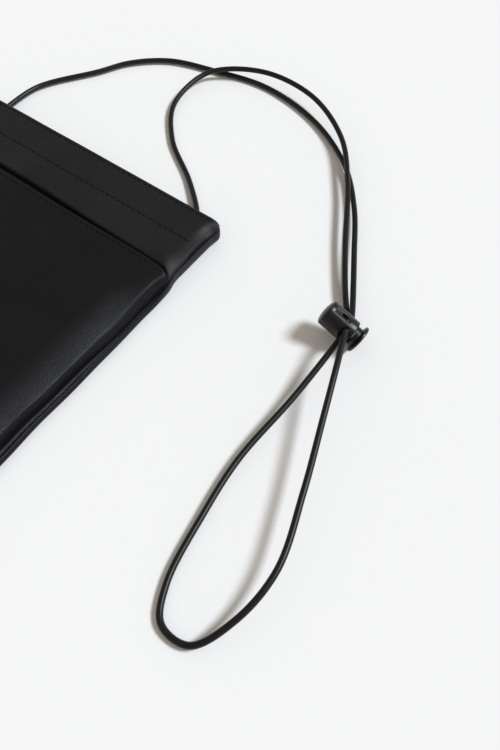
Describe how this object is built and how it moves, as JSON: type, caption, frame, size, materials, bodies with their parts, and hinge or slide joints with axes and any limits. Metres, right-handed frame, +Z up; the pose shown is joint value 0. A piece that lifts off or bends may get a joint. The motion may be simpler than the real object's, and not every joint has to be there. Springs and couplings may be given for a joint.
{
  "type": "neck pouch wallet",
  "caption": "Flat dark leather neck pouch with a slip pocket, a zip sunk in its mouth, and a round neck cord doubled through a sprung cord lock.",
  "frame": {"origin": "middle of the pouch footprint, on the surface that it lies on; the cord and the cord lock are not counted", "axes": "+X across the width, towards the side where the cord lock lies; +Y along the height, towards the mouth; +Z up from the back panel through the pocket panel"},
  "size_m": [0.2587, 0.2893, 0.0173],
  "materials": {
    "leather": "fine-grained black leather with a soft sheen",
    "lining": "matt woven lining",
    "zip_tape": "matt woven zip tape",
    "zip_coil": "dull nylon coil",
    "zip_metal": "dark satin coating",
    "cord": "smooth round braided cord",
    "lock_plastic": "fine matt moulded plastic",
    "spring_steel": "bright spring wire"
  },
  "bodies": {
    "pouch": {"back_panel": "leather", "front_panel": "leather", "pocket_panel": "leather", "back_facing": "leather", "front_facing": "leather", "back_lining": "lining", "front_lining": "lining", "pocket_lining": "lining", "zip_tape_back": "zip_tape", "zip_tape_front": "zip_tape", "zip_coil_back": "zip_coil", "zip_coil_front": "zip_coil", "zip_top_stop_back": "zip_metal", "zip_top_stop_front": "zip_metal", "zip_bottom_stop": "zip_metal", "cord_ferrule_left": "zip_metal", "cord_ferrule_right": "zip_metal", "neck_cord": "cord"},
    "zip_slider": {"zip_slider": "zip_metal"},
    "zip_pull": {"zip_pull": "zip_metal"},
    "cord_lock": {"lock_barrel": "lock_plastic", "lock_spring": "spring_steel"},
    "lock_plunger": {"lock_plunger": "lock_plastic"}
  },
  "joints": [
    {"name": "zip_slide", "type": "slide", "parent": "pouch", "child": "zip_slider", "axis": [1, 0, 0], "range_m": [0, 0.0905]},
    {"name": "zip_pull_swing", "type": "hinge", "parent": "zip_slider", "child": "zip_pull", "pos_m": [-0.0472, 0.0875, 0.0059], "axis": [0, 0, 1], "range_deg": [0, 120]},
    {"name": "lock_slide", "type": "slide", "parent": "pouch", "child": "cord_lock", "axis": [-0.4683, 0.8836, 0], "range_m": [0, 0.025], "deforming": ["neck_cord"]},
    {"name": "lock_plunger_press", "type": "slide", "parent": "cord_lock", "child": "lock_plunger", "axis": [-0.913, -0.0319, 0.4067], "range_m": [0, 0.0024], "stiffness_N_per_m": 400, "springref_m": -0.002, "deforming": ["lock_spring"]}
  ]
}
